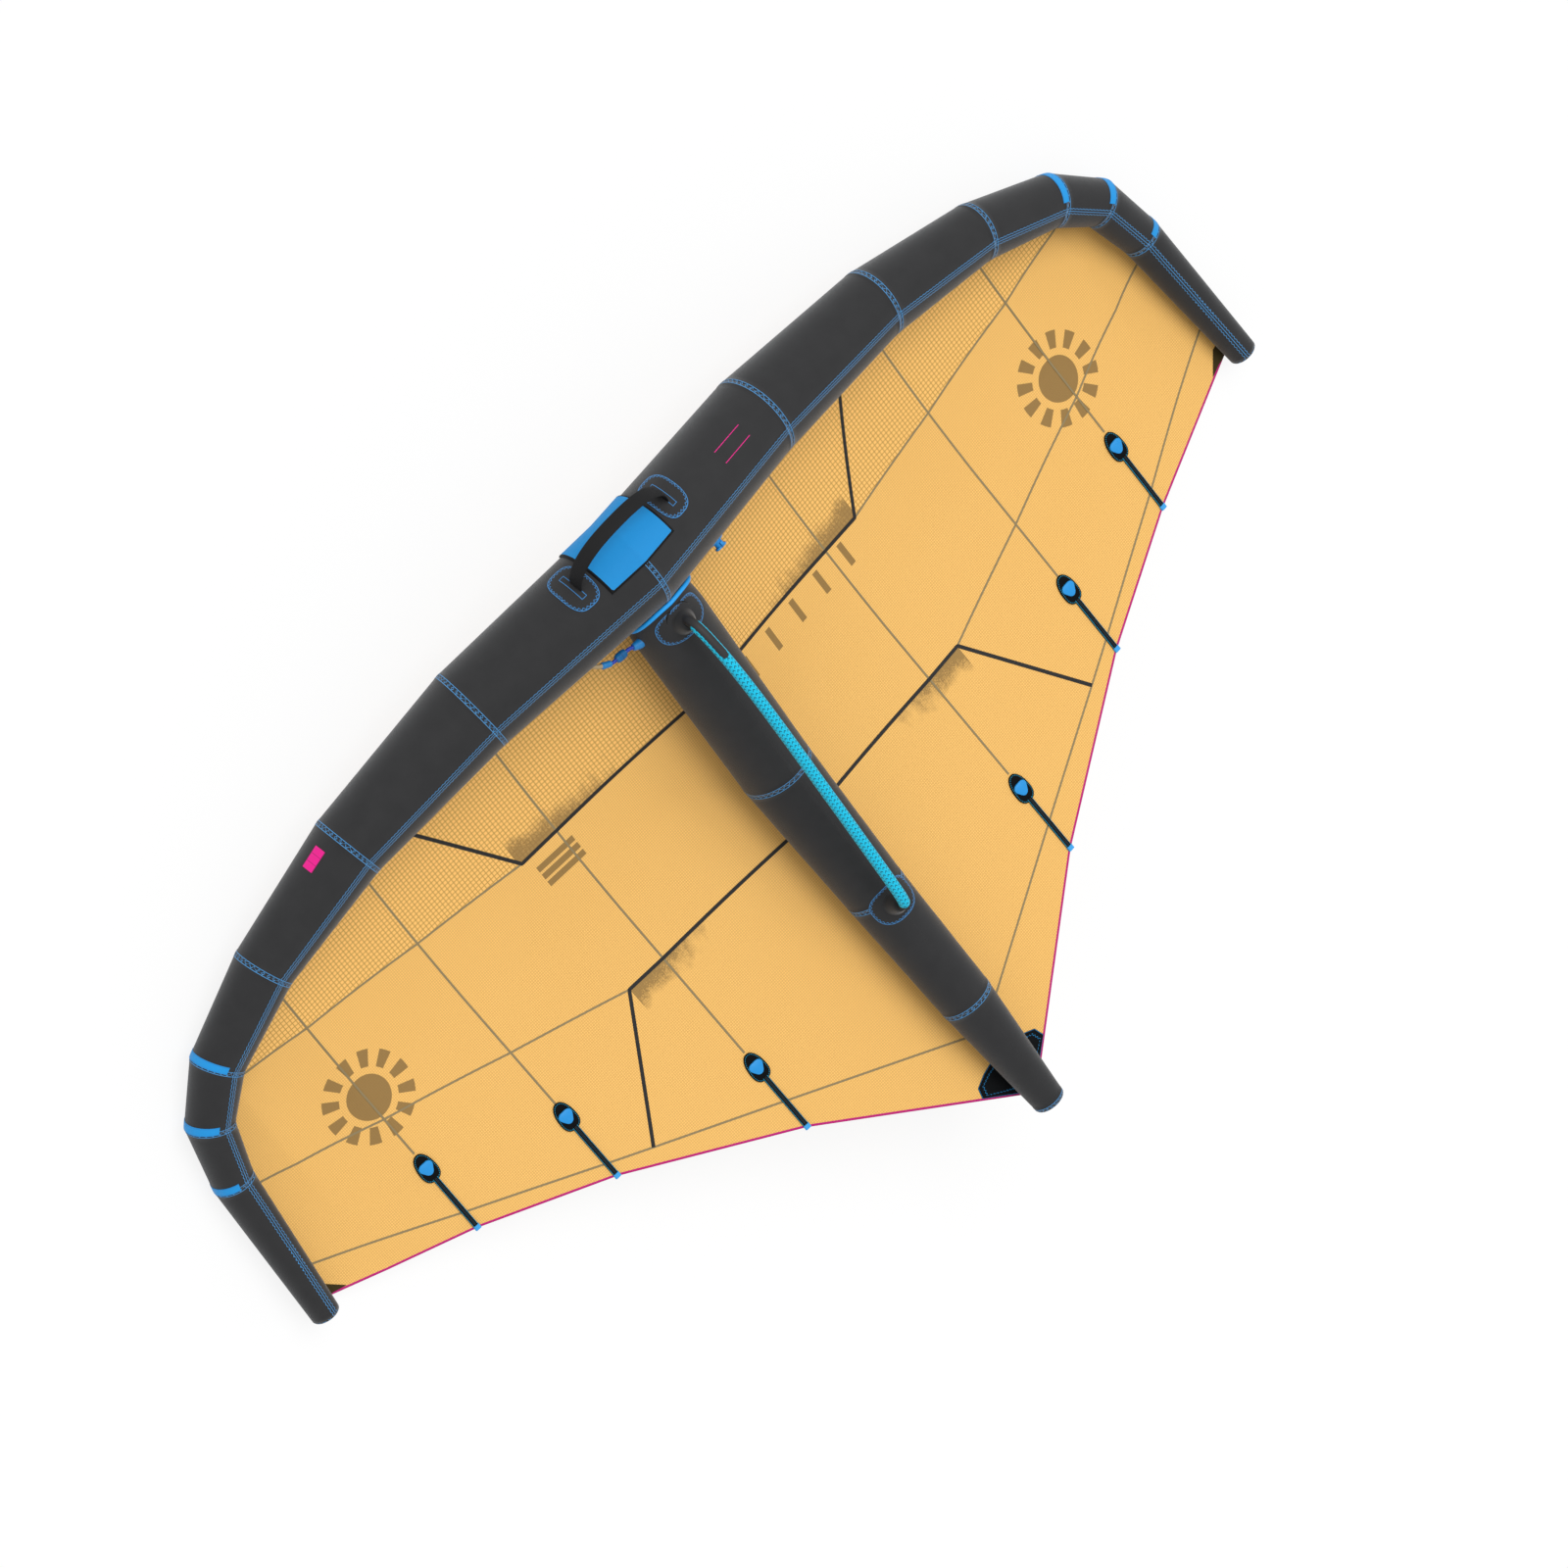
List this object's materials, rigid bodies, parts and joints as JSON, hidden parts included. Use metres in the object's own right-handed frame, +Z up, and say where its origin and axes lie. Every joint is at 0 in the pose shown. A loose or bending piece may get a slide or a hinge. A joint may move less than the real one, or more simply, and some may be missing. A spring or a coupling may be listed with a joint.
{
  "type": "wingfoil wing",
  "caption": "Inflatable hand wing: a bent air-filled leading edge and a centre strut stretch a cambered cloth canopy, with battens, a carrying handle and a long removable hand grip.",
  "frame": {"origin": "centre of the footprint on the surface that the wing rests on", "axes": "+X along the span towards the side with the transfer hose, +Y rearward from the leading edge towards the strut's tail, +Z up to the rider's side, where the handle and the grip are"},
  "size_m": [3.3864, 2.0766, 0.51],
  "materials": {
    "casing_cloth": "tight woven polyester, slight sheen",
    "canopy_cloth": "translucent amber ripstop",
    "bladder_film": "thin satin film",
    "black_cloth": "woven, matte",
    "blue_trim": "woven cord, matte",
    "blue_pad": "embossed padded cloth",
    "magenta_tape": "woven tape, matte",
    "blue_plastic": "moulded, satin",
    "black_moulding": "moulded, matte",
    "black_tube": "smooth, satin",
    "turquoise_sleeve": "knitted grip sleeve, matte"
  },
  "bodies": {
    "wing": {"le_panel_left_1": "casing_cloth", "le_panel_left_2": "casing_cloth", "le_panel_left_3": "casing_cloth", "le_panel_left_4": "casing_cloth", "le_panel_left_5": "casing_cloth", "le_panel_left_6": "casing_cloth", "le_panel_left_7": "casing_cloth", "le_panel_right_1": "casing_cloth", "le_panel_right_2": "casing_cloth", "le_panel_right_3": "casing_cloth", "le_panel_right_4": "casing_cloth", "le_panel_right_5": "casing_cloth", "le_panel_right_6": "casing_cloth", "le_panel_right_7": "casing_cloth", "le_tip_cap_left": "casing_cloth", "le_tip_cap_right": "casing_cloth", "le_bladder": "bladder_film", "strut_panel_1": "casing_cloth", "strut_panel_2": "casing_cloth", "strut_panel_3": "casing_cloth", "strut_panel_4": "casing_cloth", "strut_end_cap": "casing_cloth", "strut_bladder": "bladder_film", "strut_root_piping": "blue_trim", "canopy_left_inner": "canopy_cloth", "canopy_left_outer": "canopy_cloth", "canopy_right_inner": "canopy_cloth", "canopy_right_outer": "canopy_cloth", "tail_tape_left": "magenta_tape", "tail_tape_right": "magenta_tape", "batten_pocket_left_1": "black_cloth", "batten_pocket_left_2": "black_cloth", "batten_pocket_left_3": "black_cloth", "batten_pocket_right_1": "black_cloth", "batten_pocket_right_2": "black_cloth", "batten_pocket_right_3": "black_cloth", "tip_patch_left": "black_cloth", "tip_patch_right": "black_cloth", "strut_tail_patch": "black_cloth", "handle_strap": "black_cloth", "handle_patch_left": "casing_cloth", "handle_patch_right": "casing_cloth", "handle_pad": "blue_pad", "front_grip_patch": "casing_cloth", "rear_grip_patch": "casing_cloth", "front_grip_base": "black_moulding", "rear_grip_base": "black_moulding", "valve_base": "blue_plastic", "transfer_hose": "blue_plastic"},
    "grip": {"grip_tube": "black_tube", "grip_sleeve": "turquoise_sleeve"},
    "left_batten_1": {"batten_left_1": "blue_plastic"},
    "left_batten_2": {"batten_left_2": "blue_plastic"},
    "left_batten_3": {"batten_left_3": "blue_plastic"},
    "right_batten_1": {"batten_right_1": "blue_plastic"},
    "right_batten_2": {"batten_right_2": "blue_plastic"},
    "right_batten_3": {"batten_right_3": "blue_plastic"},
    "valve_lid": {"valve_cap": "blue_plastic"},
    "clip": {"hose_clip": "blue_plastic"}
  },
  "joints": [
    {"name": "grip_release", "type": "slide", "parent": "wing", "child": "grip", "axis": [0, -0.0555, 0.9985], "range_m": [0, 0.05]},
    {"name": "left_batten_1_slide", "type": "slide", "parent": "wing", "child": "left_batten_1", "axis": [-0.0006, -0.988, -0.1546], "range_m": [0, 0.19]},
    {"name": "left_batten_2_slide", "type": "slide", "parent": "wing", "child": "left_batten_2", "axis": [0.0036, -0.9904, -0.138], "range_m": [0, 0.19]},
    {"name": "left_batten_3_slide", "type": "slide", "parent": "wing", "child": "left_batten_3", "axis": [0.003, -0.9946, -0.1039], "range_m": [0, 0.15]},
    {"name": "right_batten_1_slide", "type": "slide", "parent": "wing", "child": "right_batten_1", "axis": [0.0006, -0.988, -0.1546], "range_m": [0, 0.19]},
    {"name": "right_batten_2_slide", "type": "slide", "parent": "wing", "child": "right_batten_2", "axis": [-0.0036, -0.9904, -0.138], "range_m": [0, 0.19]},
    {"name": "right_batten_3_slide", "type": "slide", "parent": "wing", "child": "right_batten_3", "axis": [-0.003, -0.9946, -0.1039], "range_m": [0, 0.15]},
    {"name": "valve_lid_hinge", "type": "hinge", "parent": "wing", "child": "valve_lid", "pos_m": [-0.20736, -0.71517, 0.34553], "axis": [0.9796, -0.0396, 0.1969], "range_deg": [0, 150]},
    {"name": "clip_slide", "type": "slide", "parent": "wing", "child": "clip", "axis": [0.9853, -0.1523, 0.0779], "range_m": [-0.006, 0.006]}
  ]
}
